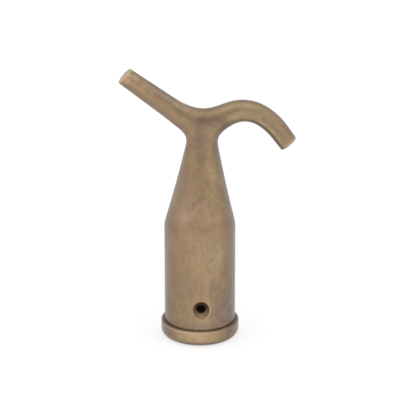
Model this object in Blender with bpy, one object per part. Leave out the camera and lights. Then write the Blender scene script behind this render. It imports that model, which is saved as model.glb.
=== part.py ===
"""Boat-hook head: a cast hook and spike on a cone, a straight pole socket and a turned band ring.

Origin: centre of the socket's mouth, on the plane that the band ring stands on.
+Z runs up the socket's axis, +X points to the hook's side, -Y is the front with the screw hole.
"""

import math

import bmesh
import bpy
from mathutils import Vector

MM = 0.001
FIT_GAP = 0.3 * MM

# Socket: a tube for a 32 mm (1 1/4 inch) pole
BORE_RADIUS = 16.0 * MM
SOCKET_WALL = 3.0 * MM
SOCKET_RADIUS = BORE_RADIUS + SOCKET_WALL
SHOULDER_HEIGHT = 63.6 * MM
LEDGE_HEIGHT = 1.5 * MM

# Screw holes, for a countersunk No. 8 wood screw, front and back
SCREW_HEIGHT = 20.5 * MM
SCREW_HOLE_RADIUS = 2.3 * MM
COUNTERSINK_RADIUS = 4.7 * MM
COUNTERSINK_ANGLE = math.radians(90)
HOLE_SIDES = 32
CUT_OVERRUN = 2.0 * MM
HOLE_MARGIN = 7.0 * MM

# Band ring round the socket's mouth
RING_RADIUS = 20.9 * MM
RING_HEIGHT = 9.1 * MM
RING_FOOT_ROUND = 3.8 * MM
RING_TOP_ROUND = 1.1 * MM

# Spigot of the casting, inside the top of the socket
SPIGOT_DEPTH = 8.0 * MM
SPIGOT_BORE_RADIUS = 13.0 * MM
SPIGOT_RADIUS = BORE_RADIUS - FIT_GAP

# Cone of the casting: (height, radius) from the shoulder up to the neck
CONE_OUTSIDE = (
    (SHOULDER_HEIGHT, SOCKET_RADIUS),
    (72.5 * MM, 16.7 * MM),
    (85.5 * MM, 13.4 * MM),
    (97.5 * MM, 10.7 * MM),
    (106.0 * MM, 8.8 * MM),
)
NECK_LEAN = 1.2 * MM
NECK_HEIGHT = 109.6 * MM

# Hollow core inside the cone: (height, radius) from its top down to the pole stop
CORE_INSIDE = (
    (99.0 * MM, 3.5 * MM),
    (95.0 * MM, 6.0 * MM),
    (82.0 * MM, 9.5 * MM),
    (SHOULDER_HEIGHT, SPIGOT_BORE_RADIUS),
)

# Crotch, where neck, spike and hook run together, as (x, z) in the plane y = 0
CROTCH_CENTRE = (1.0 * MM, 117.6 * MM)
CROTCH_HALF_THICKNESS = 7.4 * MM
LEFT_CORNER = (-6.2 * MM, 113.2 * MM)
RIGHT_CORNER = (9.1 * MM, 111.8 * MM)
VALLEY = (0.7 * MM, 126.8 * MM)

# Arms: first ring's centre (x, z), heading in degrees from +X, radius there, and the legs.
# A leg is (length, turn in degrees, number of rings on it, radius at its end).
SPIKE_START = (-11.1 * MM, 124.9 * MM)
SPIKE_HEADING = 180.0 - 36.8
SPIKE_RADIUS = 6.15 * MM
SPIKE_END_CUT = -4.5
SPIKE_LEGS = (
    (4.5 * MM, 0.0, 1, 5.7 * MM),
    (30.7 * MM, 0.0, 3, 4.85 * MM),
)
HOOK_START = (10.7 * MM, 122.3 * MM)
HOOK_HEADING = 26.6
HOOK_RADIUS = 6.5 * MM
HOOK_END_CUT = 3.0
HOOK_LEGS = (
    (4.8 * MM, 0.0, 1, 6.15 * MM),
    (18.0 * MM, -58.2, 4, 5.55 * MM),
    (13.5 * MM, -23.0, 3, 5.3 * MM),
    (8.4 * MM, 0.0, 1, 5.1 * MM),
)

# Fineness: the casting is a cage of eight-sided rings that is subdivided, the rest is turned
CAGE_SIDES = 8
CAGE_LEVELS = 2
SOCKET_SIDES = 64
SHARP_ANGLE = math.radians(35)

# A ring of the cage shrinks to this share of its radius when it is subdivided
CAGE_SHRINK = (4 + 2 * math.cos(math.tau / CAGE_SIDES)) / 6


def brass(name, colour, roughness):
    """Aged brass, as one Principled material."""
    material = bpy.data.materials.new(name)
    material.use_nodes = True
    shader = material.node_tree.nodes["Principled BSDF"]
    shader.inputs["Base Color"].default_value = (*colour, 1.0)
    shader.inputs["Metallic"].default_value = 1.0
    shader.inputs["Roughness"].default_value = roughness
    return material


def add_object(name, mesh, material=None):
    """Link a mesh to the scene as one object and give it its material."""
    item = bpy.data.objects.new(name, mesh)
    bpy.context.scene.collection.objects.link(item)
    if material:
        mesh.materials.append(material)
    return item


def shade(mesh):
    """Smooth shading with the machined edges kept sharp."""
    mesh.shade_smooth()
    mesh.set_sharp_from_angle(angle=SHARP_ANGLE)


# ---- turned pieces ----

def arc(centre, radius, start, end, steps):
    """Points (radius, height) along a round corner of a turned outline, angles in degrees."""
    points = []
    for step in range(steps + 1):
        angle = math.radians(start + (end - start) * step / steps)
        points.append((centre[0] + radius * math.cos(angle), centre[1] + radius * math.sin(angle)))
    return points


def turned_mesh(name, outline):
    """Spin a closed (radius, height) outline once round the Z axis."""
    mesh = bpy.data.meshes.new(name)
    shape = bmesh.new()
    corners = [shape.verts.new((radius, 0, height)) for radius, height in outline]
    edges = [shape.edges.new(pair) for pair in zip(corners, corners[1:] + corners[:1])]
    bmesh.ops.spin(
        shape, geom=corners + edges, axis=(0, 0, 1), cent=(0, 0, 0),
        angle=math.tau, steps=SOCKET_SIDES, use_merge=True,
    )
    bmesh.ops.recalc_face_normals(shape, faces=shape.faces)
    shape.to_mesh(mesh)
    shape.free()
    shade(mesh)
    return mesh


def bridge(shape, rings):
    """Quads between each ring of vertices and the next one."""
    for near, far in zip(rings, rings[1:]):
        for step in range(len(near)):
            following = (step + 1) % len(near)
            shape.faces.new((near[step], near[following], far[following], far[step]))


def countersink_cutter(name, side):
    """Drill for one countersunk hole: side is -1 at the front and 1 at the back."""
    slope = math.tan(COUNTERSINK_ANGLE / 2)
    mouth = math.sqrt(SOCKET_RADIUS ** 2 - COUNTERSINK_RADIUS ** 2)
    stations = (
        (BORE_RADIUS - 4 * CUT_OVERRUN, SCREW_HOLE_RADIUS),
        (mouth - (COUNTERSINK_RADIUS - SCREW_HOLE_RADIUS) / slope, SCREW_HOLE_RADIUS),
        (mouth + CUT_OVERRUN, COUNTERSINK_RADIUS + CUT_OVERRUN * slope),
    )
    mesh = bpy.data.meshes.new(name)
    shape = bmesh.new()
    rings = []
    for distance, radius in stations:
        ring = []
        for step in range(HOLE_SIDES):
            angle = math.tau * step / HOLE_SIDES
            x = radius * math.cos(angle)
            z = SCREW_HEIGHT + radius * math.sin(angle)
            ring.append(shape.verts.new((x, side * distance, z)))
        rings.append(ring)
    bridge(shape, rings)
    shape.faces.new(rings[0])
    shape.faces.new(rings[-1])
    bmesh.ops.recalc_face_normals(shape, faces=shape.faces)
    shape.to_mesh(mesh)
    shape.free()
    cutter = add_object(name, mesh)
    cutter.hide_render = True
    cutter.display_type = "WIRE"
    return cutter


def make_socket_sleeve():
    """The straight tube that the pole is pushed into, with a screw hole front and back."""
    foot = LEDGE_HEIGHT + FIT_GAP
    top = SHOULDER_HEIGHT - FIT_GAP
    heights = (foot, SCREW_HEIGHT - HOLE_MARGIN, SCREW_HEIGHT + HOLE_MARGIN, top)
    outline = [(SOCKET_RADIUS, height) for height in heights]
    outline += [(BORE_RADIUS, height) for height in reversed(heights)]
    mesh = turned_mesh("socket_sleeve", outline)
    sleeve = add_object("socket_sleeve", mesh, brass("sleeve_brass", (0.36, 0.25, 0.15), 0.42))
    for name, side in (("front_hole_cutter", -1), ("back_hole_cutter", 1)):
        drill = sleeve.modifiers.new(name, "BOOLEAN")
        drill.operation = "DIFFERENCE"
        drill.object = countersink_cutter(name, side)
    return sleeve


def make_base_ring():
    """The turned band ring; the sleeve's foot sits on the ledge inside it."""
    seat_radius = SOCKET_RADIUS + FIT_GAP
    foot_centre = (RING_RADIUS - RING_FOOT_ROUND, RING_FOOT_ROUND)
    top_centre = (RING_RADIUS - RING_TOP_ROUND, RING_HEIGHT - RING_TOP_ROUND)
    outline = [
        (BORE_RADIUS, 0.0),
        (BORE_RADIUS, LEDGE_HEIGHT),
        (seat_radius, LEDGE_HEIGHT),
        (seat_radius, RING_HEIGHT),
    ]
    outline += arc(top_centre, RING_TOP_ROUND, 90, 0, 3)
    outline += arc(foot_centre, RING_FOOT_ROUND, 0, -90, 6)
    mesh = turned_mesh("base_ring", outline)
    return add_object("base_ring", mesh, brass("ring_brass", (0.34, 0.24, 0.15), 0.45))


# ---- the casting ----

def cage_ring(shape, centre, heading, radius):
    """Eight cage points round one station of a limb that runs along heading in the XZ plane.

    Point 0 lies on the limb's right-hand side, point 2 at the back and point 6 at the front.
    """
    across = Vector((math.sin(heading), 0, -math.cos(heading)))
    back = Vector((0, 1, 0))
    middle = Vector((centre[0], 0, centre[1]))
    reach = radius / CAGE_SHRINK
    ring = []
    for step in range(CAGE_SIDES):
        angle = math.tau * step / CAGE_SIDES
        ring.append(shape.verts.new(middle + reach * (math.cos(angle) * across + math.sin(angle) * back)))
    return ring


def arm_rings(shape, start, heading_degrees, radius, legs, end_cut_degrees):
    """Cage rings along one arm, through its straight and round legs.

    The last ring is turned by end_cut_degrees, because the arm's end isn't cut quite square.
    """
    heading = math.radians(heading_degrees)
    place = Vector(start)
    stations = [(place.copy(), heading, radius)]
    for length, turn_degrees, count, end_radius in legs:
        turn = math.radians(turn_degrees) / count
        stride = length / count
        if turn:
            stride *= math.sin(turn / 2) / (turn / 2)
        for step in range(1, count + 1):
            chord = heading + turn / 2
            place += stride * Vector((math.cos(chord), math.sin(chord)))
            heading += turn
            here = radius + (end_radius - radius) * step / count
            stations.append((place.copy(), heading, here))
        radius = end_radius
    stations[-1] = (place, heading + math.radians(end_cut_degrees), radius)
    return [cage_ring(shape, *station) for station in stations]


def lean(height):
    """How far the cone's centre line stands to the right of the socket's axis."""
    rise = (height - SHOULDER_HEIGHT) / (NECK_HEIGHT - SHOULDER_HEIGHT)
    return NECK_LEAN * min(max(rise, 0), 1)


def crotch_half_loop(shape, corner):
    """Three cage points of a round half loop from the front, over a corner, to the back."""
    middle = Vector((CROTCH_CENTRE[0], 0, CROTCH_CENTRE[1]))
    side = Vector((corner[0], 0, corner[1])) - middle
    back = Vector((0, CROTCH_HALF_THICKNESS, 0))
    points = []
    for degrees in (45, 90, 135):
        angle = math.radians(degrees)
        offset = math.sin(angle) * side - math.cos(angle) * back
        points.append(shape.verts.new(middle + offset / CAGE_SHRINK))
    return points


def crease_ring(crease, ring):
    """Keep a ring's edges sharp through the subdivision."""
    for edge in {edge for vert in ring for edge in vert.link_edges}:
        if edge.verts[0] in ring and edge.verts[1] in ring:
            edge[crease] = 1.0
            edge.smooth = False


def make_hook_head():
    """The casting: spigot, hollow cone, neck, blunt spike and hook, as one smooth cage."""
    mesh = bpy.data.meshes.new("hook_head")
    shape = bmesh.new()
    crease = shape.edges.layers.float.new("crease_edge")
    upward = math.radians(90)
    pole_stop = SHOULDER_HEIGHT - SPIGOT_DEPTH

    core = [cage_ring(shape, (lean(z), z), upward, r) for z, r in CORE_INSIDE]
    stop_inside = cage_ring(shape, (0, pole_stop), upward, SPIGOT_BORE_RADIUS)
    stop_outside = cage_ring(shape, (0, pole_stop), upward, SPIGOT_RADIUS)
    seat_inside = cage_ring(shape, (0, SHOULDER_HEIGHT), upward, SPIGOT_RADIUS)
    cone = [cage_ring(shape, (lean(z), z), upward, r) for z, r in CONE_OUTSIDE]
    spike = arm_rings(shape, SPIKE_START, SPIKE_HEADING, SPIKE_RADIUS, SPIKE_LEGS, SPIKE_END_CUT)
    hook = arm_rings(shape, HOOK_START, HOOK_HEADING, HOOK_RADIUS, HOOK_LEGS, HOOK_END_CUT)

    depth = CROTCH_HALF_THICKNESS / CAGE_SHRINK
    front = shape.verts.new((CROTCH_CENTRE[0], -depth, CROTCH_CENTRE[1]))
    back = shape.verts.new((CROTCH_CENTRE[0], depth, CROTCH_CENTRE[1]))
    left = crotch_half_loop(shape, LEFT_CORNER)
    right = crotch_half_loop(shape, RIGHT_CORNER)
    top = crotch_half_loop(shape, VALLEY)
    neck_loop = [right[1], right[2], back, left[2], left[1], left[0], front, right[0]]
    hook_loop = [right[1], right[2], back, top[2], top[1], top[0], front, right[0]]
    spike_loop = [top[1], top[2], back, left[2], left[1], left[0], front, top[0]]

    bridge(shape, core + [stop_inside, stop_outside, seat_inside] + cone + [neck_loop])
    bridge(shape, [spike_loop] + spike)
    bridge(shape, [hook_loop] + hook)
    shape.faces.new(core[0][::-1])
    shape.faces.new(spike[-1])
    shape.faces.new(hook[-1])
    for face in shape.faces:
        face.smooth = True
    for ring in (stop_inside, stop_outside, seat_inside, cone[0], spike[-1], hook[-1]):
        crease_ring(crease, ring)

    shape.to_mesh(mesh)
    shape.free()
    head = add_object("hook_head", mesh, brass("casting_brass", (0.34, 0.23, 0.14), 0.45))
    smooth = head.modifiers.new("smooth", "SUBSURF")
    smooth.levels = CAGE_LEVELS
    smooth.render_levels = CAGE_LEVELS
    return head


def main():
    """Clear the scene and build the three pieces."""
    for item in list(bpy.data.objects):
        bpy.data.objects.remove(item, do_unlink=True)
    make_hook_head()
    make_socket_sleeve()
    make_base_ring()


main()
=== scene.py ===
"""Looks of the brass boat-hook head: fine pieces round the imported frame, aged brass, studio and camera."""

import math

import bmesh
import bpy
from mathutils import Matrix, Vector


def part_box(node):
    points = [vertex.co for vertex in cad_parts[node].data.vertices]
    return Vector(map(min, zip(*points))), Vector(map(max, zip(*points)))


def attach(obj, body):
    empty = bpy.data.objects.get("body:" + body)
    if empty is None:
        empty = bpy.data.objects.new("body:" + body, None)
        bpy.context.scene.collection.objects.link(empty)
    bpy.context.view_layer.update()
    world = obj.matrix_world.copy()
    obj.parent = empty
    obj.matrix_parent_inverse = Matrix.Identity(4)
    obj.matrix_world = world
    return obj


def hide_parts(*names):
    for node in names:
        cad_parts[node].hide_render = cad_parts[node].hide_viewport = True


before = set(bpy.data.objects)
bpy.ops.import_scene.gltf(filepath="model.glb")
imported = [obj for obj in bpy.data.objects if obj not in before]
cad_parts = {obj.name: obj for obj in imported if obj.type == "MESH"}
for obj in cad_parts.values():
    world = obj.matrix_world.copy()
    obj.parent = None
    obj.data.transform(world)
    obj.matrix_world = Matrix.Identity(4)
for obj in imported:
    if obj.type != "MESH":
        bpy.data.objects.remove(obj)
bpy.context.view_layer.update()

MM = 0.001

# ---- what the frame says ----

sleeve_low, sleeve_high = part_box("socket_sleeve")
ring_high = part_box("base_ring")[1]
head_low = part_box("hook_head")[0]
POLE_STOP = head_low.z
RING_RADIUS = ring_high.x
RING_HEIGHT = ring_high.z
SOCKET_RADIUS = sleeve_high.x
SLEEVE_FOOT = sleeve_low.z

# ---- sizes of the turned pieces ----

SOCKET_WALL = 3.0 * MM
BORE_RADIUS = SOCKET_RADIUS - SOCKET_WALL
FIT_GAP = 0.3 * MM
SEAT_GAP = 0.1 * MM
SHOULDER_HEIGHT = sleeve_high.z + FIT_GAP
SEAM_HEIGHT = SHOULDER_HEIGHT - 3.6 * MM
EDGE_ROUND = 0.3 * MM
SLEEVE_ROWS_BELOW = 8
SLEEVE_ROWS_ABOVE = 28
SLEEVE_SHARP_ANGLE = math.radians(60)

SCREW_HEIGHT = 20.5 * MM
SCREW_HOLE_RADIUS = 2.3 * MM
COUNTERSINK_RADIUS = 4.7 * MM
COUNTERSINK_ANGLE = math.radians(90)

# Rounding of a countersink's rim, with its rings as (depth below the face, distance outside the rim),
# and of the edge where the through hole starts
RIM_ROUND = 0.45 * MM
RIM_ROUND_RINGS = ((0.02 * MM, 0.24 * MM), (0.06 * MM, 0.08 * MM))
THROAT_ROUND = 0.12 * MM
THROAT_SINK = 0.1 * MM

# Rings round a screw hole, as shares of the way outwards on the face, the countersink and the bore
HOLE_PATCH_SHARES = (0.8, 0.6, 0.42, 0.27, 0.15, 0.07)
COUNTERSINK_SHARES = (0.75, 0.5, 0.25)
BORE_PATCH_SHARES = (0.02, 0.2, 0.6)

LEDGE_HEIGHT = SLEEVE_FOOT - FIT_GAP
RING_FOOT_ROUND = 3.8 * MM
RING_TOP_ROUND = 1.1 * MM
RING_SEAT_ROUND = 0.15 * MM
RING_SEAT_STEP = 5.0 * MM

TURNED_COLUMNS = 128
PATCH_COLUMNS = 16

# ---- wear and painted light of the turned pieces: 1 is worn bright with a painted highlight, 0 is the plain patina and below 0 is grime with painted shade ----

# The ring's upper edge is worn bright with a painted highlight, dimmer on the hook's side
RING_BRIGHT_EDGE = (RING_RADIUS - 0.03 * MM, RING_HEIGHT - 0.9 * MM)
RING_BRIGHT_REACH = 0.75 * MM
RING_HOOK_SIDE_DIM_SHARE = 0.7
RING_HOOK_SIDE_DIM_SLOPE = 1.7
# The ring's top beside the sleeve is darkened with grime and painted shade
RING_GRIME_AND_SHADE_OUTSIDE = RING_RADIUS - 0.15 * MM
RING_GRIME_AND_SHADE_FOOT = RING_HEIGHT - 0.7 * MM
RING_GRIME_AND_SHADE_FADE = 0.4 * MM
RING_GRIME_AND_SHADE = 0.5
# Painted shade on the sleeve just above the ring
SLEEVE_SHADE = 0.25
SLEEVE_SHADE_FADE = 2.0 * MM
# The countersink's rim is worn bright, with a painted highlight that swings to its lower right
RIM_WEAR_AND_HIGHLIGHT = 0.70
RIM_HIGHLIGHT_SWING = 0.50
RIM_HIGHLIGHT_TURN = math.radians(35)
RIM_OUTSIDE_WEAR = 0.1
# Just inside the rim a painted highlight, then painted shade; the countersink and the through hole are
# darkened with grime and painted shade
RIM_INSIDE = ((0.14 * MM, 0.3), (0.34 * MM, -0.3))
COUNTERSINK_GRIME_AND_SHADE = -0.5
THROAT_GRIME_AND_SHADE = -0.4

# ---- sizes of the casting ----

SPIGOT_BORE_RADIUS = 13.0 * MM
SPIGOT_RADIUS = BORE_RADIUS - FIT_GAP
CONE_OUTSIDE = (
    (SHOULDER_HEIGHT - 1.8 * MM, SOCKET_RADIUS),
    (SHOULDER_HEIGHT + 0.4 * MM, SOCKET_RADIUS - 0.05 * MM),
    (SHOULDER_HEIGHT + 3.6 * MM, SOCKET_RADIUS - 0.90 * MM),
    (72.5 * MM, 16.7 * MM),
    (85.5 * MM, 13.4 * MM),
    (97.5 * MM, 10.7 * MM),
    (106.0 * MM, 8.8 * MM),
)
NECK_LEAN = 1.2 * MM
NECK_HEIGHT = 109.6 * MM
CORE_INSIDE = (
    (99.0 * MM, 3.5 * MM),
    (95.0 * MM, 6.0 * MM),
    (82.0 * MM, 9.5 * MM),
    (SHOULDER_HEIGHT, SPIGOT_BORE_RADIUS),
)

CROTCH_CENTRE = (1.0 * MM, 117.6 * MM)
CROTCH_HALF_THICKNESS = 7.4 * MM
LEFT_CORNER = (-6.2 * MM, 113.2 * MM)
RIGHT_CORNER = (9.1 * MM, 111.8 * MM)
VALLEY = (0.7 * MM, 126.8 * MM)

# Arms: first ring's centre (x, z), heading in degrees from +X, radius there, and the legs.
# A leg is (length, turn in degrees, number of rings on it, radius at its end).
SPIKE_START = (-11.1 * MM, 124.9 * MM)
SPIKE_HEADING = 180.0 - 36.8
SPIKE_RADIUS = 6.15 * MM
SPIKE_END_CUT = -4.5
SPIKE_LEGS = (
    (4.5 * MM, 0.0, 1, 5.7 * MM),
    (30.7 * MM, 0.0, 3, 4.85 * MM),
)
HOOK_START = (10.7 * MM, 122.3 * MM)
HOOK_HEADING = 26.6
HOOK_RADIUS = 6.5 * MM
HOOK_END_CUT = 3.0
HOOK_LEGS = (
    (4.8 * MM, 0.0, 1, 6.15 * MM),
    (18.0 * MM, -58.2, 4, 5.55 * MM),
    (13.5 * MM, -23.0, 3, 5.3 * MM),
    (8.4 * MM, 0.0, 1, 5.1 * MM),
)

# Rounded rim of an arm's end, as (distance back, distance in, both as multiples of END_ROUND, wear with a
# painted highlight);
# rings nearer the end than END_CUT_REACH lie along the slanted cut
END_ROUND = 0.3 * MM
END_RINGS = (
    (2.5, 0.0, 0.0),
    (1.0, 0.0, 0.5),
    (0.25, 0.22, 1.0),
    (0.0, 0.9, 0.9),
    (0.0, 2.6, 0.7),
)
END_CUT_REACH = 2.0

# The casting's cage, and how much a smoothed limb shrinks from it
CAGE_SIDES = 8
CAGE_LEVELS = 4
CAGE_SHRINK = (4 + 2 * math.cos(math.tau / CAGE_SIDES)) / 6


# ---- mesh helpers ----

def add_piece(name, shape, node, material):
    """Turn a bmesh into one piece that stands for a node."""
    mesh = bpy.data.meshes.new(name)
    bmesh.ops.recalc_face_normals(shape, faces=shape.faces)
    for face in shape.faces:
        face.smooth = True
    shape.to_mesh(mesh)
    shape.free()
    mesh.materials.append(material)
    piece = bpy.data.objects.new(name, mesh)
    bpy.context.scene.collection.objects.link(piece)
    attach(piece, "root")
    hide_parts(node)
    return piece


def apply_modifiers(piece):
    """Make a piece's modifiers part of its mesh."""
    view = bpy.context.evaluated_depsgraph_get()
    final = piece.evaluated_get(view)
    mesh = bpy.data.meshes.new_from_object(final, preserve_all_data_layers=True, depsgraph=view)
    piece.modifiers.clear()
    piece.data = mesh


def bridge(shape, rings):
    """Quads between each closed ring of vertices and the next one."""
    for near, far in zip(rings, rings[1:]):
        for step in range(len(near)):
            following = (step + 1) % len(near)
            shape.faces.new((near[step], near[following], far[following], far[step]))


def arc(centre, radius, start, end, steps):
    """Points (radius, height) along a round corner of a turned outline, angles in degrees."""
    points = []
    for step in range(steps + 1):
        angle = math.radians(start + (end - start) * step / steps)
        points.append((centre[0] + radius * math.cos(angle), centre[1] + radius * math.sin(angle)))
    return points


def spread(low, high, count):
    """Evenly spaced values from low to high, both of them included."""
    return [low + (high - low) * step / count for step in range(count + 1)]


# ---- the base ring ----

def ring_outline():
    """Closed outline (radius, height) of the band ring, from the foot's inner edge round the outside."""
    seat = SOCKET_RADIUS + SEAT_GAP
    foot = (RING_RADIUS - RING_FOOT_ROUND, RING_FOOT_ROUND)
    top = (RING_RADIUS - RING_TOP_ROUND, RING_HEIGHT - RING_TOP_ROUND)
    lip = (seat + RING_SEAT_ROUND, RING_HEIGHT - RING_SEAT_ROUND)
    mouth = (BORE_RADIUS + EDGE_ROUND, EDGE_ROUND)
    outline = arc(mouth, EDGE_ROUND, 180, 270, 4)
    outline += arc(foot, RING_FOOT_ROUND, -90, 0, 14)
    outline += [(RING_RADIUS, height) for height in spread(RING_FOOT_ROUND, top[1], 4)[1:-1]]
    outline += arc(top, RING_TOP_ROUND, 0, 90, 12)
    outline += arc(lip, RING_SEAT_ROUND, 90, 180, 4)
    outline += [(seat, RING_SEAT_STEP), (seat, LEDGE_HEIGHT), (BORE_RADIUS, LEDGE_HEIGHT)]
    return outline


def ring_wear_and_painted_light(radius, height, angle):
    """Wear and painted light of the ring: its upper edge worn bright with a painted highlight that is weaker
    on the hook's side, and grime with painted shade on its top.
    """
    inward = RING_GRIME_AND_SHADE_OUTSIDE - radius
    if height > RING_GRIME_AND_SHADE_FOOT and inward > 0:
        return -min(RING_GRIME_AND_SHADE, inward / RING_GRIME_AND_SHADE_FADE)
    edge = math.hypot(radius - RING_BRIGHT_EDGE[0], height - RING_BRIGHT_EDGE[1])
    hook_side = min(1.0, max(0.0, RING_HOOK_SIDE_DIM_SLOPE * math.cos(angle)))
    return (1.0 - RING_HOOK_SIDE_DIM_SHARE * hook_side) * max(0.0, 1.0 - edge / RING_BRIGHT_REACH)


def make_base_ring(material):
    """The turned band ring with its rounded foot, worn upper edge and the seat for the sleeve."""
    shape = bmesh.new()
    wear_and_painted_light = shape.verts.layers.float.new("wear_and_painted_light")
    grain = shape.verts.layers.float_vector.new("grain")
    columns = []
    for column in range(TURNED_COLUMNS):
        angle = math.tau * column / TURNED_COLUMNS
        strip = []
        for radius, height in ring_outline():
            place = Vector((radius * math.cos(angle), radius * math.sin(angle), height))
            vert = shape.verts.new(place)
            vert[wear_and_painted_light] = ring_wear_and_painted_light(radius, height, angle)
            vert[grain] = place
            strip.append(vert)
        columns.append(strip)
    bridge(shape, columns + columns[:1])
    return add_piece("band_ring", shape, "base_ring", material)


# ---- the socket sleeve ----

def on_tube(radius, angle, height):
    """Point on a tube round the socket's axis; angle 0 is the front, -Y."""
    return Vector((radius * math.sin(angle), -radius * math.cos(angle), height))


def countersink_rim(direction):
    """Distance from the hole's axis to where the countersink meets the sleeve, in one direction."""
    slope = math.tan(COUNTERSINK_ANGLE / 2)
    mouth = math.sqrt(SOCKET_RADIUS ** 2 - COUNTERSINK_RADIUS ** 2)
    reach = COUNTERSINK_RADIUS
    for _ in range(12):
        depth = math.sqrt(SOCKET_RADIUS ** 2 - (reach * math.cos(direction)) ** 2)
        reach = COUNTERSINK_RADIUS + (depth - mouth) * slope
    return reach


def sleeve_heights():
    """Heights of the rows between the rounded ends; the middle ones bound the screw holes' patches."""
    half = PATCH_COLUMNS / 2 * math.tau / TURNED_COLUMNS * SOCKET_RADIUS
    low = spread(SLEEVE_FOOT + EDGE_ROUND, SCREW_HEIGHT - half, SLEEVE_ROWS_BELOW)
    middle = spread(SCREW_HEIGHT - half, SCREW_HEIGHT + half, PATCH_COLUMNS)
    high = spread(SCREW_HEIGHT + half, SEAM_HEIGHT, SLEEVE_ROWS_ABOVE)
    return low[:-1] + middle + high[1:], len(low) - 1


def rim_wear_and_highlight(direction):
    """The countersink's rim is worn bright, with a painted highlight that is strongest at its lower right.
    """
    return RIM_WEAR_AND_HIGHLIGHT + RIM_HIGHLIGHT_SWING * math.cos(direction + RIM_HIGHLIGHT_TURN)


def cone_place(reach):
    """Place on the countersink's cone: distances from the hole's axis and from the socket's axis."""
    mouth = math.sqrt(SOCKET_RADIUS ** 2 - COUNTERSINK_RADIUS ** 2)
    return reach, mouth - (COUNTERSINK_RADIUS - reach) / math.tan(COUNTERSINK_ANGLE / 2)


class ScrewHole:
    """One screw hole through the sleeve, as rings of vertices from the outer patch's border to the bore."""

    def __init__(self, shape, first_row, first_column, turn):
        self.shape = shape
        self.wear_and_painted_light = shape.verts.layers.float["wear_and_painted_light"]
        self.grain = shape.verts.layers.float_vector["grain"]
        self.first_row = first_row
        self.first_column = first_column
        self.turn = turn
        last = PATCH_COLUMNS
        self.steps = [(step, 0) for step in range(last)]
        self.steps += [(last, step) for step in range(last)]
        self.steps += [(last - step, last) for step in range(last)]
        self.steps += [(0, last - step) for step in range(last)]
        half = last // 2
        self.directions = [math.atan2(up - half, across - half) for across, up in self.steps]

    def border(self, grid):
        """The sleeve's own vertices round the patch that the hole takes up."""
        ring = []
        for across, up in self.steps:
            column = (self.first_column + across) % TURNED_COLUMNS
            ring.append(grid[column][self.first_row + up])
        return ring

    def point(self, radius, angle, rise, worn_and_painted_light, direction):
        """One vertex on a tube of a radius, an angle and a rise away from the hole's axis."""
        place = on_tube(radius, angle + self.turn, SCREW_HEIGHT + rise)
        vert = self.shape.verts.new(place)
        vert[self.wear_and_painted_light] = worn_and_painted_light(direction) if callable(worn_and_painted_light) else worn_and_painted_light
        vert[self.grain] = place
        return vert

    def surface_ring(self, tube, start, share, worn_and_painted_light=0.0):
        """Ring on a tube, a share of the way from the start distance to the patch's border."""
        half = PATCH_COLUMNS // 2
        column_angle = math.tau / TURNED_COLUMNS
        ring = []
        for (across, up), direction in zip(self.steps, self.directions):
            near = start(direction)
            here = (math.asin(near * math.cos(direction) / tube), near * math.sin(direction))
            there = ((across - half) * column_angle, (up - half) * column_angle * SOCKET_RADIUS)
            angle = here[0] + (there[0] - here[0]) * share
            rise = here[1] + (there[1] - here[1]) * share
            ring.append(self.point(tube, angle, rise, worn_and_painted_light, direction))
        return ring

    def depth_ring(self, reach_and_depth, worn_and_painted_light=0.0):
        """Ring inside the hole at a distance from its axis and a depth from the socket's axis."""
        ring = []
        for direction in self.directions:
            reach, depth = reach_and_depth(direction)
            across = reach * math.cos(direction)
            angle = math.atan2(across, depth)
            rise = reach * math.sin(direction)
            ring.append(self.point(math.hypot(across, depth), angle, rise, worn_and_painted_light, direction))
        return ring

    def rim_ring(self, beyond, share, sink=0.0, worn_and_painted_light=0.0):
        """Ring on the sleeve's face, or sunk a little below it, a step outside the countersink's rim."""
        return self.surface_ring(SOCKET_RADIUS - sink, lambda d: countersink_rim(d) + beyond, share, worn_and_painted_light)

    def walls(self, outer, inner):
        """All the rings, from the face down the countersink and the through hole to the bore."""
        rings = [self.border(outer)]
        rings += [self.rim_ring(RIM_ROUND, share) for share in HOLE_PATCH_SHARES]
        rings.append(self.rim_ring(RIM_ROUND, 0.0, worn_and_painted_light=RIM_OUTSIDE_WEAR))
        rings += [self.rim_ring(beyond, 0.0, sink, rim_wear_and_highlight) for sink, beyond in RIM_ROUND_RINGS]
        for within, worn_and_painted_light in RIM_INSIDE:
            rings.append(self.depth_ring(lambda d: cone_place(countersink_rim(d) - within), worn_and_painted_light))
        for share in COUNTERSINK_SHARES:
            rings.append(self.depth_ring(
                lambda d: cone_place(SCREW_HOLE_RADIUS + (countersink_rim(d) - SCREW_HOLE_RADIUS) * share),
                COUNTERSINK_GRIME_AND_SHADE))
        throat = cone_place(SCREW_HOLE_RADIUS)[1]
        rings.append(self.depth_ring(lambda d: cone_place(SCREW_HOLE_RADIUS + THROAT_ROUND), THROAT_GRIME_AND_SHADE))
        rings.append(self.depth_ring(lambda d: (SCREW_HOLE_RADIUS, throat - THROAT_SINK), THROAT_GRIME_AND_SHADE))
        rings.append(self.depth_ring(lambda d: (SCREW_HOLE_RADIUS, self.bore_depth(d) + THROAT_SINK)))
        rings += [self.surface_ring(BORE_RADIUS, lambda d: SCREW_HOLE_RADIUS, share)
                  for share in BORE_PATCH_SHARES]
        rings.append(self.border(inner))
        bridge(self.shape, rings)

    @staticmethod
    def bore_depth(direction):
        """Distance from the socket's axis at which the through hole meets the bore."""
        return math.sqrt(BORE_RADIUS ** 2 - (SCREW_HOLE_RADIUS * math.cos(direction)) ** 2)


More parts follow.
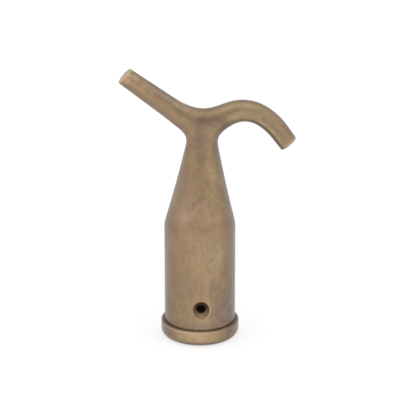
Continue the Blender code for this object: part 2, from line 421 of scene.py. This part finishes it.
def make_socket_sleeve(material):
    """The straight tube for the pole, with rounded ends and a countersunk screw hole front and back."""
    shape = bmesh.new()
    wear_and_painted_light = shape.verts.layers.float.new("wear_and_painted_light")
    grain = shape.verts.layers.float_vector.new("grain")
    heights, patch_row = sleeve_heights()
    foot_out = arc((SOCKET_RADIUS - EDGE_ROUND, SLEEVE_FOOT + EDGE_ROUND), EDGE_ROUND, -90, 0, 4)[:-1]
    foot_in = arc((BORE_RADIUS + EDGE_ROUND, SLEEVE_FOOT + EDGE_ROUND), EDGE_ROUND, 180, 270, 4)[1:]
    holes = (
        (-PATCH_COLUMNS // 2, 0.0),
        (TURNED_COLUMNS // 2 - PATCH_COLUMNS // 2, math.pi),
    )
    in_patch = set()
    for first, _ in holes:
        in_patch |= {(first + step) % TURNED_COLUMNS for step in range(PATCH_COLUMNS)}

    def strip(angle, outline):
        """One column of vertices; the foot is darkened with painted shade just above the ring."""
        verts = []
        for radius, height in outline:
            place = on_tube(radius, angle, height)
            vert = shape.verts.new(place)
            below = RING_HEIGHT + SLEEVE_SHADE_FADE - height
            vert[wear_and_painted_light] = -SLEEVE_SHADE * min(1.0, max(0.0, below) / SLEEVE_SHADE_FADE)
            vert[grain] = place
            verts.append(vert)
        return verts

    outer = []
    inner = []
    foot = []
    for column in range(TURNED_COLUMNS):
        angle = math.tau * column / TURNED_COLUMNS
        outer.append(strip(angle, [(SOCKET_RADIUS, height) for height in heights]))
        inner.append(strip(angle, [(BORE_RADIUS, height) for height in heights]))
        foot.append(strip(angle, foot_in + foot_out))

    for column in range(TURNED_COLUMNS):
        following = (column + 1) % TURNED_COLUMNS
        for wall in (outer, inner):
            for row in range(len(heights) - 1):
                if column in in_patch and patch_row <= row < patch_row + PATCH_COLUMNS:
                    continue
                near, far = wall[column], wall[following]
                shape.faces.new((near[row], far[row], far[row + 1], near[row + 1]))
        bottom = [inner[column][0]] + foot[column] + [outer[column][0]]
        beside = [inner[following][0]] + foot[following] + [outer[following][0]]
        for low, high, low_beside, high_beside in zip(bottom, bottom[1:], beside, beside[1:]):
            shape.faces.new((low, high, high_beside, low_beside))
        shape.faces.new((outer[column][-1], outer[following][-1], inner[following][-1], inner[column][-1]))

    for first, turn in holes:
        ScrewHole(shape, patch_row, first, turn).walls(outer, inner)
    loose = [vert for vert in shape.verts if not vert.link_faces]
    bmesh.ops.delete(shape, geom=loose, context="VERTS")
    piece = add_piece("pole_sleeve", shape, "socket_sleeve", material)
    piece.data.set_sharp_from_angle(angle=SLEEVE_SHARP_ANGLE)
    return piece


# ---- the casting ----

class Cage:
    """The casting's cage and the two layers that its material reads."""

    def __init__(self):
        self.shape = bmesh.new()
        self.crease = self.shape.edges.layers.float.new("crease_edge")
        self.wear_and_painted_light = self.shape.verts.layers.float.new("wear_and_painted_light")
        self.grain = self.shape.verts.layers.float_vector.new("grain")

    def point(self, place, grain=None, wear_and_painted_light=0.0):
        """One cage vertex; its grain is its place along and across a limb laid straight."""
        vert = self.shape.verts.new(place)
        vert[self.grain] = grain if grain is not None else place
        vert[self.wear_and_painted_light] = wear_and_painted_light
        return vert

    def ring(self, centre, heading, radius, along=None, wear_and_painted_light=0.0):
        """Eight cage points round one station of a limb that runs along heading in the XZ plane."""
        across = Vector((math.sin(heading), 0, -math.cos(heading)))
        back = Vector((0, 1, 0))
        middle = Vector((centre[0], 0, centre[1]))
        reach = radius / CAGE_SHRINK
        ring = []
        for step in range(CAGE_SIDES):
            angle = math.tau * step / CAGE_SIDES
            place = middle + reach * (math.cos(angle) * across + math.sin(angle) * back)
            grain = None
            if along is not None:
                grain = Vector((reach * math.cos(angle), reach * math.sin(angle), along))
            ring.append(self.point(place, grain, wear_and_painted_light))
        return ring

    def sharpen(self, ring, amount=1.0):
        """Crease a ring's edges."""
        for edge in {edge for vert in ring for edge in vert.link_edges}:
            if edge.verts[0] in ring and edge.verts[1] in ring:
                edge[self.crease] = amount

    def arm(self, start, heading_degrees, radius, legs, end_cut_degrees):
        """Rings along one arm, and a flat end with a rounded rim."""
        heading = math.radians(heading_degrees)
        place = Vector(start)
        along = CROTCH_CENTRE[1] + (place - Vector(CROTCH_CENTRE)).length
        stations = [(place.copy(), heading, radius, along)]
        for length, turn_degrees, count, end_radius in legs:
            turn = math.radians(turn_degrees) / count
            stride = length / count
            if turn:
                stride *= math.sin(turn / 2) / (turn / 2)
            for step in range(1, count + 1):
                chord = heading + turn / 2
                place += stride * Vector((math.cos(chord), math.sin(chord)))
                heading += turn
                along += length / count
                here = radius + (end_radius - radius) * step / count
                stations.append((place.copy(), heading, here, along))
            radius = end_radius
        place, heading, radius, along = stations.pop()
        cut = heading + math.radians(end_cut_degrees)
        forward = Vector((math.cos(heading), math.sin(heading)))
        rings = [self.ring(*station) for station in stations]
        for back, inset, wear_and_painted_light in END_RINGS:
            centre = place - back * END_ROUND * forward
            turned = cut if back < END_CUT_REACH else heading
            here = radius - inset * END_ROUND
            rings.append(self.ring(centre, turned, here, along - back * END_ROUND, wear_and_painted_light))
        return rings


def lean(height):
    """How far the cone's centre line stands to the right of the socket's axis."""
    rise = (height - SHOULDER_HEIGHT) / (NECK_HEIGHT - SHOULDER_HEIGHT)
    return NECK_LEAN * min(max(rise, 0), 1)


def crotch_half_loop(cage, corner):
    """Three cage points of a round half loop from the front, over a corner, to the back."""
    middle = Vector((CROTCH_CENTRE[0], 0, CROTCH_CENTRE[1]))
    side = Vector((corner[0], 0, corner[1])) - middle
    back = Vector((0, CROTCH_HALF_THICKNESS, 0))
    points = []
    for degrees in (45, 90, 135):
        angle = math.radians(degrees)
        offset = math.sin(angle) * side - math.cos(angle) * back
        points.append(cage.point(middle + offset / CAGE_SHRINK))
    return points


def make_hook_head(material):
    """The casting: spigot, hollow cone, neck, blunt spike and hook, as one smooth cage."""
    cage = Cage()
    upward = math.radians(90)
    core = [cage.ring((lean(z), z), upward, r) for z, r in CORE_INSIDE]
    stop_inside = cage.ring((0, POLE_STOP), upward, SPIGOT_BORE_RADIUS)
    stop_outside = cage.ring((0, POLE_STOP), upward, SPIGOT_RADIUS)
    seat_inside = cage.ring((0, SEAM_HEIGHT), upward, SPIGOT_RADIUS)
    seat_outside = cage.ring((0, SEAM_HEIGHT), upward, SOCKET_RADIUS)
    cone = [cage.ring((lean(z), z), upward, r) for z, r in CONE_OUTSIDE]
    spike = cage.arm(SPIKE_START, SPIKE_HEADING, SPIKE_RADIUS, SPIKE_LEGS, SPIKE_END_CUT)
    hook = cage.arm(HOOK_START, HOOK_HEADING, HOOK_RADIUS, HOOK_LEGS, HOOK_END_CUT)

    depth = CROTCH_HALF_THICKNESS / CAGE_SHRINK
    front = cage.point(Vector((CROTCH_CENTRE[0], -depth, CROTCH_CENTRE[1])))
    back = cage.point(Vector((CROTCH_CENTRE[0], depth, CROTCH_CENTRE[1])))
    left = crotch_half_loop(cage, LEFT_CORNER)
    right = crotch_half_loop(cage, RIGHT_CORNER)
    top = crotch_half_loop(cage, VALLEY)
    neck_loop = [right[1], right[2], back, left[2], left[1], left[0], front, right[0]]
    hook_loop = [right[1], right[2], back, top[2], top[1], top[0], front, right[0]]
    spike_loop = [top[1], top[2], back, left[2], left[1], left[0], front, top[0]]

    shape = cage.shape
    spigot = [stop_inside, stop_outside, seat_inside, seat_outside]
    bridge(shape, core + spigot + cone + [neck_loop])
    bridge(shape, [spike_loop] + spike)
    bridge(shape, [hook_loop] + hook)
    shape.faces.new(core[0][::-1])
    shape.faces.new(spike[-1])
    shape.faces.new(hook[-1])
    for ring in spigot:
        cage.sharpen(ring)
    piece = add_piece("hook_and_spike", shape, "hook_head", material)
    smooth = piece.modifiers.new("smooth", "SUBSURF")
    smooth.levels = CAGE_LEVELS
    smooth.render_levels = CAGE_LEVELS
    apply_modifiers(piece)
    return piece


# ---- aged brass ----

# Colours of the patina from its dark to its light tone, of grime with painted shade and of worn metal with a
# painted highlight
DARK_BRASS = (0.193, 0.1205, 0.058)
LIGHT_BRASS = (0.448, 0.282, 0.1365)
GRIME_AND_SHADE = (0.11, 0.07, 0.045)
GRIME_AND_SHADE_STRENGTH = 0.85
WORN_AND_HIGHLIT_BRASS = (0.62, 0.46, 0.30)
WORN_AND_HIGHLIT_STRENGTH = 0.75

# Layers of the tone as (stretch of the grain, or None for no grain, scale, detail, weight)
TONE_LAYERS = (
    ((1.0, 1.0, 0.55), 62.0, 2.0, 0.22),
    ((1.0, 1.0, 0.7), 190.0, 2.0, 0.15),
    (None, 620.0, 2.0, 0.155),
    (None, 1500.0, 2.0, 0.20),
    ((1.0, 1.0, 0.05), 520.0, 3.0, 0.12),
)

# Tinges all over the patina, as (stretch of the grain, scale, limits of the noise, strength, colour)
TINGES = (
    ((-1.0, 1.0, 0.45), 130.0, (0.50, 0.68), 0.38, (0.345, 0.205, 0.120)),
    ((-1.0, -1.0, 0.6), 140.0, (0.52, 0.70), 0.40, (0.290, 0.222, 0.100)),
)

# Gloss: the roughness, what a light tone and wear with painted highlights take off it, and tints of the edge
# light, darkened as painted shade where there is grime
ROUGHNESS = 0.44
TONE_GLOSS = 0.1
WORN_AND_HIGHLIT_GLOSS = 0.05
GLINT = (0.86, 0.92, 1.0)
WORN_AND_HIGHLIT_GLINT = (1.0, 0.90, 0.76)
GRIME_AND_SHADE_GLINT = (0.62, 0.50, 0.42)

# Thin coat and dust on the patina
COAT_IOR = 1.6
COAT_ROUGHNESS = 0.45
DUST_WEIGHT = 0.16
DUST_ROUGHNESS = 0.4
DUST_COLOUR = (0.80, 0.90, 1.0, 1.0)

# Relief of the surface: heights of its swells and of its fine scratches along the grain
SWELL_HEIGHT = 0.06 * MM
SCRATCH_HEIGHT = 0.004 * MM

# Stains: where they end and where they are full, in radii from the centre, and the noise on their edges
STAIN_END = 1.35
STAIN_FULL = 0.15
RAGGED_SCALE = 260.0
RAGGED_DETAIL = 4.0
RAGGED_REACH = 0.5

# Colours of the stains and streaks
RED_BROWN = (0.21, 0.115, 0.075)
ROSE = (0.38, 0.235, 0.165)
PALE_ROSE = (0.50, 0.315, 0.215)
GREY_BROWN = (0.20, 0.142, 0.095)
UMBER = (0.19, 0.122, 0.075)
DARK_UMBER = (0.14, 0.085, 0.055)
STRAW = (0.47, 0.355, 0.20)
PALE_STRAW = (0.56, 0.43, 0.26)
ORANGE = (0.46, 0.295, 0.165)
COPPER = (0.62, 0.38, 0.19)
WORN_AND_HIGHLIT_CREAM = (0.82, 0.70, 0.52)
GOLD = (0.58, 0.42, 0.22)
PALE_OLIVE = (0.42, 0.35, 0.215)
PAINTED_EDGE_REFLECTION = (0.50, 0.42, 0.33)

# Stains, three of them painted shade, as (centre, radii, both in mm, strength, colour)
STAINS = (
    ((1.4, -6.5, 123.2), (4.5, 6.0, 3.2), 1.0, RED_BROWN),
    ((11.0, -5.5, 121.6), (9.0, 7.0, 5.6), 0.90, UMBER),
    ((-0.5, -8.0, 111.0), (6.0, 6.0, 17.0), 0.75, UMBER),
    # Painted shade: the neck's right side darkened where it mirrors the hook above it
    ((8.2, -3.5, 107.0), (3.0, 4.0, 14.0), 0.50, GREY_BROWN),
    ((-9.5, -9.0, 88.0), (5.0, 8.0, 12.0), 0.6, ROSE),
    ((-9.5, -13.0, 75.0), (8.0, 12.0, 12.0), 0.60, PALE_ROSE),
    ((-15.0, -10.0, 62.0), (6.0, 10.0, 10.0), 0.5, ROSE),
    ((0.0, -16.0, 73.0), (13.0, 10.0, 8.0), 0.60, ORANGE),
    ((17.0, -8.0, 67.0), (6.0, 10.0, 10.0), 0.60, GREY_BROWN),
    ((15.0, -5.0, 78.0), (5.0, 8.0, 10.0), 0.60, UMBER),
    ((9.0, -16.0, 51.0), (6.0, 8.0, 13.0), 0.55, STRAW),
    ((6.5, -17.0, 33.5), (5.0, 8.0, 6.0), 0.75, GREY_BROWN),
    ((15.0, -12.0, 22.0), (8.0, 10.0, 16.0), 0.70, GREY_BROWN),
    ((9.0, -16.5, 20.0), (10.0, 9.0, 14.0), 0.75, UMBER),
    # Painted shade: a band darkening the sleeve and the ring's top just above the ring
    ((0.0, 0.0, 10.6), (70.0, 70.0, 4.5), 0.70, GREY_BROWN),
    ((-18.5, -9.0, 5.0), (6.0, 10.0, 8.0), 0.60, GREY_BROWN),
    ((15.0, -13.0, 6.0), (9.0, 11.0, 8.0), 0.90, UMBER),
    ((16.0, -11.0, 14.0), (7.0, 9.0, 9.0), 0.80, UMBER),
    ((-16.5, -9.0, 21.0), (6.0, 9.0, 9.0), 0.45, UMBER),
    ((9.0, -17.0, 13.5), (5.5, 6.0, 4.5), 0.50, UMBER),
    ((18.5, -5.0, 12.0), (4.0, 9.0, 4.5), 0.60, UMBER),
    ((10.5, -16.0, 31.5), (4.5, 7.0, 6.0), 0.45, UMBER),
    ((2.0, -20.5, 6.0), (9.0, 5.0, 5.0), 0.40, ORANGE),
    ((0.5, -15.0, 78.5), (6.0, 8.0, 5.0), 0.40, PALE_ROSE),
    ((7.0, -9.0, 93.5), (4.0, 7.0, 7.0), 0.40, STRAW),
    ((-6.0, -20.0, 6.5), (11.0, 8.0, 5.0), 0.55, GOLD),
    # Painted shade along the ring's foot at the front, where it meets the floor
    ((0.0, -18.0, 0.0), (50.0, 14.0, 3.6), 0.75, UMBER),
    ((14.0, -3.0, 130.0), (10.0, 7.0, 4.5), 0.30, PALE_OLIVE),
    ((12.5, -4.5, 120.3), (6.5, 6.0, 4.6), 0.75, DARK_UMBER),
    ((-8.0, 0.0, 131.0), (8.0, 8.0, 4.0), 0.60, PALE_STRAW),
)

# Streaks along the arms, some of them painted highlights, painted reflections and painted shade, as (1 for
# the hook or -1 for the spike, centre, radii, strength, colour), in mm.
# The centre's first number is across the arm, positive towards the throat on the hook and upwards on the
# spike. The second is towards the back and the third is along the arm.
STREAKS = (
    (-1, (-1.4, -5.0, 150.0), (2.0, 6.0, 50.0), 0.50, UMBER),
    (-1, (3.2, -3.6, 168.5), (3.0, 6.0, 19.0), 0.75, PALE_STRAW),
    (-1, (0.9, -5.0, 161.0), (2.5, 5.0, 12.0), 0.50, ORANGE),
    (-1, (0.6, -5.0, 165.8), (3.4, 5.0, 2.6), 0.80, COPPER),
    (-1, (3.4, -4.6, 137.5), (2.8, 5.0, 10.0), 0.35, UMBER),
    # Painted reflections: pale lines along the spike's lower and upper edges
    (-1, (-3.7, -4.0, 150.0), (1.6, 5.0, 36.0), 0.30, PAINTED_EDGE_REFLECTION),
    (-1, (4.6, -3.2, 142.0), (1.4, 5.0, 22.0), 0.45, PAINTED_EDGE_REFLECTION),
    (1, (-1.6, -5.4, 142.0), (2.4, 5.0, 10.0), 0.45, STRAW),
    (1, (0.2, -5.4, 162.0), (2.6, 5.0, 28.0), 0.60, UMBER),
    # Painted highlight: the light line along the hook's throat side; the next line is a painted dark
    # reflection just beyond it
    (1, (2.6, -4.9, 158.0), (1.3, 5.0, 32.0), 0.70, PALE_STRAW),
    (1, (4.4, -3.4, 158.0), (1.2, 5.0, 28.0), 0.35, UMBER),
    (1, (-3.9, -3.8, 152.0), (2.4, 4.0, 12.0), 0.50, STRAW),
    # The spike's cut end face is worn metal with a painted highlight
    (-1, (0.0, 0.0, 167.1), (30.0, 30.0, 1.0), 1.00, WORN_AND_HIGHLIT_CREAM),
    # Painted shade: a dark line along the far rim of the spike's end face
    (-1, (0.0, 6.3, 167.0), (6.0, 3.2, 2.0), 1.00, UMBER),
    # The hook's cut end face is worn metal with a painted highlight
    (1, (0.0, 0.0, 173.1), (30.0, 30.0, 1.0), 0.60, WORN_AND_HIGHLIT_CREAM),
)

# Distance from the socket's axis over which an arm's streaks fade in
ARM_MASK = (5.0 * MM, 12.0 * MM)


class Nodes:
    """Short calls for building one material's node tree."""

    def __init__(self, owner):
        self.owner = owner
        owner.use_nodes = True
        self.tree = owner.node_tree
        self.shader = self.tree.nodes.get("Principled BSDF")

    def add(self, kind, **settings):
        """A node with some of its settings."""
        node = self.tree.nodes.new(kind)
        for key, value in settings.items():
            setattr(node, key, value)
        return node

    def link(self, source, target):
        """Join an output to an input."""
        self.tree.links.new(source, target)

    def attribute(self, name, output):
        """A layer of the mesh."""
        return self.add("ShaderNodeAttribute", attribute_name=name).outputs[output]

    def math(self, operation, first, second=None):
        """One sum; each value is a number or an output."""
        node = self.add("ShaderNodeMath", operation=operation)
        for socket, value in zip(node.inputs, (first, second)):
            if value is None:
                continue
            if isinstance(value, (int, float)):
                socket.default_value = value
            else:
                self.link(value, socket)
        return node.outputs[0]

    def stretched(self, vector, scale):
        """A vector times a scale for each axis."""
        node = self.add("ShaderNodeVectorMath", operation="MULTIPLY")
        self.link(vector, node.inputs[0])
        node.inputs[1].default_value = scale
        return node.outputs[0]

    def cloud(self, vector, scale, detail=3.0, rough=0.5, low=0.35, high=0.65):
        """Noise on a vector, spread to the range 0 to 1."""
        node = self.add("ShaderNodeTexNoise")
        self.link(vector, node.inputs["Vector"])
        node.inputs["Scale"].default_value = scale
        node.inputs["Detail"].default_value = detail
        node.inputs["Roughness"].default_value = rough
        return self.range(node.outputs["Fac"], low, high)

    def ragged_edge(self, vector):
        """What the stains' edges move in by, from place to place."""
        ragged = self.cloud(vector, RAGGED_SCALE, detail=RAGGED_DETAIL, low=0.3, high=0.7)
        return self.math("MULTIPLY", ragged, RAGGED_REACH)

    def stain(self, vector, ragged, centre, radii, strength):
        """A soft ragged patch round a centre in the vector's space, with a radius along each axis."""
        offset = self.add("ShaderNodeVectorMath", operation="SUBTRACT")
        self.link(vector, offset.inputs[0])
        offset.inputs[1].default_value = [value * MM for value in centre]
        scaled = self.stretched(offset.outputs[0], [1 / (value * MM) for value in radii])
        length = self.add("ShaderNodeVectorMath", operation="LENGTH")
        self.link(scaled, length.inputs[0])
        reach = self.math("ADD", length.outputs["Value"], ragged)
        return self.range(reach, STAIN_END, STAIN_FULL, 0.0, strength)

    def range(self, value, low, high, to_low=0.0, to_high=1.0):
        """Smooth step of a value between two limits."""
        node = self.add("ShaderNodeMapRange", interpolation_type="SMOOTHSTEP")
        self.link(value, node.inputs["Value"])
        node.inputs["From Min"].default_value = low
        node.inputs["From Max"].default_value = high
        node.inputs["To Min"].default_value = to_low
        node.inputs["To Max"].default_value = to_high
        return node.outputs["Result"]

    def tint(self, colour, factor, other, blend="MIX"):
        """Mix another colour into a colour by a factor."""
        node = self.add("ShaderNodeMix", data_type="RGBA", blend_type=blend)
        for socket, value in ((node.inputs["Factor"], factor), (node.inputs["A"], colour)):
            if isinstance(value, (int, float)):
                socket.default_value = value
            elif isinstance(value, tuple):
                socket.default_value = (*value, 1.0)
            else:
                self.link(value, socket)
        node.inputs["B"].default_value = (*other, 1.0)
        return node.outputs["Result"]


def patina_tone(nodes, place, grain):
    """How light the patina is: broad clouds, fine mottling and brushing along the grain."""
    tone = 0.5
    for stretch, scale, detail, weight in TONE_LAYERS:
        vector = place if stretch is None else nodes.stretched(grain, stretch)
        offset = nodes.math("SUBTRACT", nodes.cloud(vector, scale, detail=detail), 0.5)
        tone = nodes.math("ADD", nodes.math("MULTIPLY", offset, weight), tone)
    return tone


def patina_colour(nodes, place, grain, ragged, tone):
    """The patina's colour with its tinges and stains."""
    colour = nodes.tint(DARK_BRASS, tone, LIGHT_BRASS)
    for stretch, scale, (low, high), strength, tinge in TINGES:
        cloud = nodes.cloud(nodes.stretched(grain, stretch), scale, low=low, high=high)
        colour = nodes.tint(colour, nodes.math("MULTIPLY", cloud, strength), tinge)
    for centre, radii, strength, stain in STAINS:
        colour = nodes.tint(colour, nodes.stain(place, ragged, centre, radii, strength), stain)
    return colour


def streaked(nodes, place, grain, ragged, colour):
    """A colour with the streaks along both arms."""
    parts = nodes.add("ShaderNodeSeparateXYZ")
    nodes.link(place, parts.inputs[0])
    for side, centre, radii, strength, streak in STREAKS:
        on_arm = nodes.range(nodes.math("MULTIPLY", parts.outputs["X"], side), *ARM_MASK)
        spot = nodes.stain(grain, ragged, centre, radii, strength)
        colour = nodes.tint(colour, nodes.math("MULTIPLY", on_arm, spot), streak)
    return colour


def set_gloss(nodes, tone, wear_and_painted_light, worn_and_painted_light, grime_and_shade):
    """Roughness, tint of the edge light that is darker as painted shade in grime, and a thin coat and dust
    that worn places with painted highlights have lost.
    """
    inputs = nodes.shader.inputs
    roughness = nodes.math("SUBTRACT", ROUGHNESS, nodes.math("MULTIPLY", tone, TONE_GLOSS))
    roughness = nodes.math("SUBTRACT", roughness, nodes.math("MULTIPLY", worn_and_painted_light, WORN_AND_HIGHLIT_GLOSS))
    nodes.link(roughness, inputs["Roughness"])
    glint = nodes.tint(GLINT, worn_and_painted_light, WORN_AND_HIGHLIT_GLINT)
    nodes.link(nodes.tint(glint, grime_and_shade, GRIME_AND_SHADE_GLINT), inputs["Specular Tint"])
    nodes.link(nodes.range(wear_and_painted_light, 0.0, 0.8, 1.0, 0.1), inputs["Coat Weight"])
    inputs["Coat IOR"].default_value = COAT_IOR
    inputs["Coat Roughness"].default_value = COAT_ROUGHNESS
    dust_where_not_bright = nodes.range(wear_and_painted_light, 0.0, 0.6, DUST_WEIGHT, 0.0)
    nodes.link(nodes.math("MULTIPLY", dust_where_not_bright, nodes.range(wear_and_painted_light, -0.6, 0.0)), inputs["Sheen Weight"])
    inputs["Sheen Roughness"].default_value = DUST_ROUGHNESS
    inputs["Sheen Tint"].default_value = DUST_COLOUR


def set_relief(nodes, place, grain):
    """Slight swells and fine scratches along the grain."""
    swell = nodes.cloud(place, 160.0, detail=2.0, low=0.2, high=0.8)
    scratch = nodes.cloud(nodes.stretched(grain, (1.0, 1.0, 0.03)), 2600.0, detail=2.0, low=0.2, high=0.8)
    swells = nodes.math("MULTIPLY", swell, SWELL_HEIGHT)
    scratches = nodes.math("MULTIPLY", scratch, SCRATCH_HEIGHT)
    bump = nodes.add("ShaderNodeBump")
    bump.inputs["Distance"].default_value = 1.0
    bump.inputs["Strength"].default_value = 1.0
    nodes.link(nodes.math("ADD", swells, scratches), bump.inputs["Height"])
    nodes.link(bump.outputs["Normal"], nodes.shader.inputs["Normal"])


def aged_brass(name):
    """Satin antique brass with a mottled patina, faint brushing along the grain, bright worn edges with
    painted highlights, and grime with painted shade in crevices.
    """
    nodes = Nodes(bpy.data.materials.new(name))
    place = nodes.add("ShaderNodeTexCoord").outputs["Object"]
    grain = nodes.attribute("grain", "Vector")
    wear_and_painted_light = nodes.attribute("wear_and_painted_light", "Fac")
    ragged = nodes.ragged_edge(place)
    tone = patina_tone(nodes, place, grain)
    grime_and_shade = nodes.range(wear_and_painted_light, 0.0, -1.0, 0.0, GRIME_AND_SHADE_STRENGTH)
    worn_and_painted_light = nodes.range(wear_and_painted_light, 0.0, 1.0)
    colour = patina_colour(nodes, place, grain, ragged, tone)
    colour = nodes.tint(colour, grime_and_shade, GRIME_AND_SHADE)
    colour = nodes.tint(colour, nodes.math("MULTIPLY", worn_and_painted_light, WORN_AND_HIGHLIT_STRENGTH), WORN_AND_HIGHLIT_BRASS)
    colour = streaked(nodes, place, grain, ragged, colour)
    nodes.link(colour, nodes.shader.inputs["Base Color"])
    nodes.shader.inputs["Metallic"].default_value = 1.0
    set_gloss(nodes, tone, wear_and_painted_light, worn_and_painted_light, grime_and_shade)
    set_relief(nodes, place, grain)
    return nodes.owner


# ---- studio ----

CAMERA_TARGET = Vector((4.37, 0, 71.95)) * MM
CAMERA_DISTANCE = 1182.7 * MM
CAMERA_ELEVATION = math.radians(20.3)
CAMERA_TURN = math.radians(2.4)
CAMERA_LENS = 192.06
SENSOR_WIDTH = 36.0
VIEW_DEPTH = 50.0

FLOOR_HALF = 6.0
FLOOR_GREY = 0.5
FLOOR_GLOW = 0.63
SHADE_SIDES = 64
SHADE_DEPTH = 0.2 * MM
# The disc's faint glow is painted light in the depth of the screw holes
SHADE_GLOW = 0.02
SHADE_GLOW_COLOUR = (1.0, 0.9, 0.8, 1.0)
WHITE = (1.0, 1.0, 1.0, 1.0)

# Light tent: its level all round, and soft glows as (direction, gain, spread in degrees)
TENT_LEVEL = 0.76
TENT_GLOWS = (
    ((-0.1, -1.0, -0.1), 0.12, 110),
    ((1.0, -1.0, -0.30), 0.20, 48),
    ((-0.8, -1.0, -0.30), 0.16, 42),
    ((0.1, -1.0, -0.85), 0.26, 36),
    ((0.0, -0.22, 1.0), 0.44, 46),
    ((0.0, -1.0, 0.70), -0.34, 32),
    ((0.0, 1.0, 0.50), -0.14, 65),
    ((0.1, 0.2, -1.0), -0.25, 55),
)


def aim(item, target):
    """Point an object's -Z axis at a target."""
    item.rotation_euler = (target - item.location).to_track_quat("-Z", "Y").to_euler()


def make_camera():
    """The camera in front, a little above."""
    camera = bpy.data.objects.new("camera", bpy.data.cameras.new("camera"))
    bpy.context.scene.collection.objects.link(camera)
    level = math.cos(CAMERA_ELEVATION)
    rise = math.sin(CAMERA_ELEVATION)
    away = Vector((-level * math.sin(CAMERA_TURN), -level * math.cos(CAMERA_TURN), rise))
    camera.location = CAMERA_TARGET + CAMERA_DISTANCE * away
    aim(camera, CAMERA_TARGET)
    camera.data.lens = CAMERA_LENS
    camera.data.sensor_width = SENSOR_WIDTH
    camera.data.clip_end = VIEW_DEPTH
    bpy.context.scene.camera = camera


def matt(name, grey, glow_colour, glow):
    """A matt material that gives off some light."""
    nodes = Nodes(bpy.data.materials.new(name))
    inputs = nodes.shader.inputs
    inputs["Base Color"].default_value = (grey, grey, grey, 1.0)
    inputs["Roughness"].default_value = 1.0
    inputs["Specular IOR Level"].default_value = 0.0
    inputs["Emission Color"].default_value = glow_colour
    inputs["Emission Strength"].default_value = glow
    return nodes.owner


def add_flat(name, shape, material):
    """Turn a bmesh into an object that isn't part of the boat-hook head."""
    mesh = bpy.data.meshes.new(name)
    shape.to_mesh(mesh)
    shape.free()
    mesh.materials.append(material)
    flat = bpy.data.objects.new(name, mesh)
    bpy.context.scene.collection.objects.link(flat)
    return flat


def make_floor():
    """A plain white floor that glows, so it shows hardly any shadow; the brass doesn't mirror it."""
    shape = bmesh.new()
    corners = []
    for x, y in ((-1, -1), (1, -1), (1, 1), (-1, 1)):
        corners.append(shape.verts.new((x * FLOOR_HALF, y * FLOOR_HALF, 0)))
    shape.faces.new(corners)
    floor = add_flat("floor", shape, matt("floor", FLOOR_GREY, WHITE, FLOOR_GLOW))
    floor.visible_glossy = False


def make_shade():
    """A dark disc under the foot, so that hardly any light comes up the bore from the floor; its faint glow
    is painted light seen down the screw holes.
    """
    shape = bmesh.new()
    radius = RING_RADIUS - RING_FOOT_ROUND
    bmesh.ops.create_circle(shape, cap_ends=True, segments=SHADE_SIDES, radius=radius)
    shade = add_flat("shade", shape, matt("shade", 0.0, SHADE_GLOW_COLOUR, SHADE_GLOW))
    shade.location.z = -SHADE_DEPTH


def make_studio():
    """An even white light tent, brighter from above and from the front."""
    world = bpy.data.worlds.new("studio")
    bpy.context.scene.world = world
    nodes = Nodes(world)
    direction = nodes.add("ShaderNodeTexCoord").outputs["Generated"]
    light = TENT_LEVEL
    for towards, gain, spread_degrees in TENT_GLOWS:
        facing = nodes.add("ShaderNodeVectorMath", operation="DOT_PRODUCT")
        nodes.link(direction, facing.inputs[0])
        facing.inputs[1].default_value = Vector(towards).normalized()
        edge = math.cos(math.radians(spread_degrees))
        glow = nodes.range(facing.outputs["Value"], edge, 1.0, 0.0, gain)
        light = nodes.math("ADD", glow, light)
    background = world.node_tree.nodes["Background"]
    nodes.link(light, background.inputs["Strength"])
    background.inputs["Color"].default_value = WHITE
    bpy.context.scene.view_settings.view_transform = "Standard"


make_socket_sleeve(aged_brass("sleeve_brass"))
make_base_ring(aged_brass("ring_brass"))
make_hook_head(aged_brass("cast_brass"))
make_camera()
make_floor()
make_shade()
make_studio()
